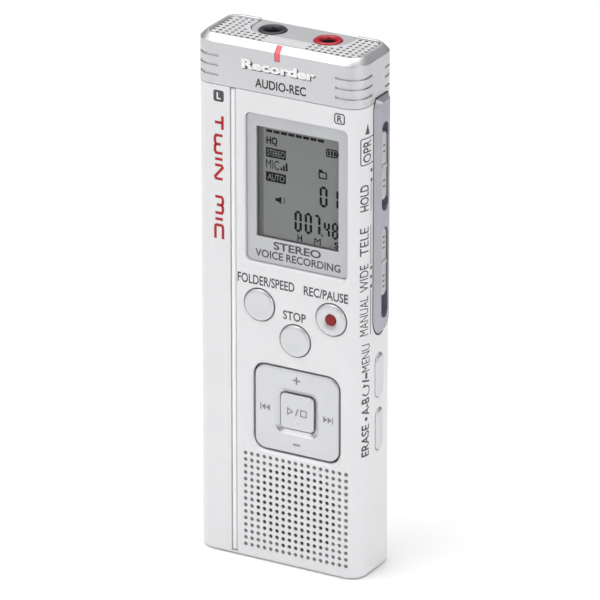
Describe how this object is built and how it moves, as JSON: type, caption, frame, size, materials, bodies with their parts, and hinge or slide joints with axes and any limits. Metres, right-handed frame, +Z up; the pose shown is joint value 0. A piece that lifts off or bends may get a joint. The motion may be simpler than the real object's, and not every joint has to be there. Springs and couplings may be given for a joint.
{
  "type": "handheld voice recorder",
  "caption": "Slim upright pocket voice recorder: white case, silver microphone cap with sockets, display, round keys, square rocker, speaker dots and side slide knobs.",
  "frame": {"origin": "middle of the foot of the bounding box, with the recorder standing upright", "axes": "+Z up along the case, +X to the right seen from the front, -Y out of the front face with the display and keys"},
  "size_m": [0.0404, 0.0158, 0.116],
  "materials": {
    "white_plastic": "satin white moulded plastic",
    "silver_paint": "fine metallic silver paint",
    "bright_trim": "bright plated",
    "purple_silver": "satin metallic paint with a purple cast",
    "knob_grey": "satin grey",
    "plate_grey": "smooth satin grey",
    "key_silver": "silver-painted key cap",
    "red_plastic": "red",
    "black_plastic": "black",
    "clear_window": "clear acrylic window",
    "display": "grey reflective liquid-crystal panel",
    "circuit_board": "green solder mask",
    "rubber": "moulded rubber",
    "steel": "pressed or turned steel",
    "polyimide": "amber flexible circuit",
    "cell_sleeve": "printed cell sleeve"
  },
  "bodies": {
    "case": {"front_cover": "white_plastic", "rear_cover": "white_plastic", "mic_grille": "white_plastic", "record_led": "white_plastic", "display_backlight": "white_plastic", "top_cap": "silver_paint", "trim_bar": "bright_trim", "side_bezel": "purple_silver", "jack_plate": "plate_grey", "mic_jack_ring": "red_plastic", "record_light_pipe": "red_plastic", "phones_jack_ring": "black_plastic", "phones_jack": "black_plastic", "mic_jack": "black_plastic", "display_frame": "black_plastic", "processor": "black_plastic", "memory_chip": "black_plastic", "speaker_frame": "black_plastic", "speaker_cone": "black_plastic", "display_window": "clear_window", "display_glass": "display", "key_board": "circuit_board", "main_board": "circuit_board", "left_mic_boot": "rubber", "right_mic_boot": "rubber", "speaker_gasket": "rubber", "left_microphone": "steel", "right_microphone": "steel", "dome_sheet": "steel", "usb_socket": "steel", "hold_switch": "steel", "range_switch": "steel", "menu_switch": "steel", "erase_switch": "steel", "speaker_magnet": "steel", "spring_contact_1": "steel", "spring_contact_2": "steel", "plate_contact": "steel", "bridge_contact": "steel", "screw_1": "steel", "screw_2": "steel", "screw_3": "steel", "screw_4": "steel", "display_cable": "polyimide", "battery_1": "cell_sleeve", "battery_2": "cell_sleeve"},
    "folder_key": {"folder_button": "key_silver"},
    "record_key": {"record_button": "key_silver", "record_dot": "red_plastic"},
    "stop_key": {"stop_button": "key_silver"},
    "play_key": {"play_button": "key_silver"},
    "nav_tilt_carrier": {"nav_web": "rubber"},
    "nav_rocker": {"nav_ring": "key_silver"},
    "hold_slider": {"hold_knob": "knob_grey"},
    "range_slider": {"range_knob": "knob_grey"},
    "menu_key": {"menu_button": "key_silver"},
    "erase_key": {"erase_button": "key_silver"},
    "door": {"battery_door": "white_plastic"}
  },
  "joints": [
    {"name": "folder_press", "type": "slide", "parent": "case", "child": "folder_key", "axis": [0, 1, 0], "range_m": [0, 0.00035], "stiffness_N_per_m": 300},
    {"name": "record_press", "type": "slide", "parent": "case", "child": "record_key", "axis": [0, 1, 0], "range_m": [0, 0.00035], "stiffness_N_per_m": 300},
    {"name": "stop_press", "type": "slide", "parent": "case", "child": "stop_key", "axis": [0, 1, 0], "range_m": [0, 0.00035], "stiffness_N_per_m": 300},
    {"name": "play_press", "type": "slide", "parent": "case", "child": "play_key", "axis": [0, 1, 0], "range_m": [0, 0.00035], "stiffness_N_per_m": 300},
    {"name": "menu_press", "type": "slide", "parent": "case", "child": "menu_key", "axis": [-1, 0, 0], "range_m": [0, 0.00035], "stiffness_N_per_m": 300},
    {"name": "erase_press", "type": "slide", "parent": "case", "child": "erase_key", "axis": [-1, 0, 0], "range_m": [0, 0.00035], "stiffness_N_per_m": 300},
    {"name": "nav_tilt", "type": "hinge", "parent": "case", "child": "nav_tilt_carrier", "pos_m": [0.00378, -0.00628, 0.0354], "axis": [1, 0, 0], "range_deg": [-1.8, 1.8], "stiffness_Nm_per_rad": 0.05},
    {"name": "nav_swing", "type": "hinge", "parent": "nav_tilt_carrier", "child": "nav_rocker", "pos_m": [0.00378, -0.00628, 0.0354], "axis": [0, 0, 1], "range_deg": [-1.8, 1.8], "stiffness_Nm_per_rad": 0.05},
    {"name": "hold_slide", "type": "slide", "parent": "case", "child": "hold_slider", "axis": [0, 0, 1], "range_m": [-0.0019, 0.0019]},
    {"name": "range_slide", "type": "slide", "parent": "case", "child": "range_slider", "axis": [0, 0, 1], "range_m": [-0.0045, 0]},
    {"name": "door_hinge", "type": "hinge", "parent": "case", "child": "door", "pos_m": [-0.00063, 0.00726, 0.02625], "axis": [-1, 0, 0], "range_deg": [0, 95]}
  ]
}
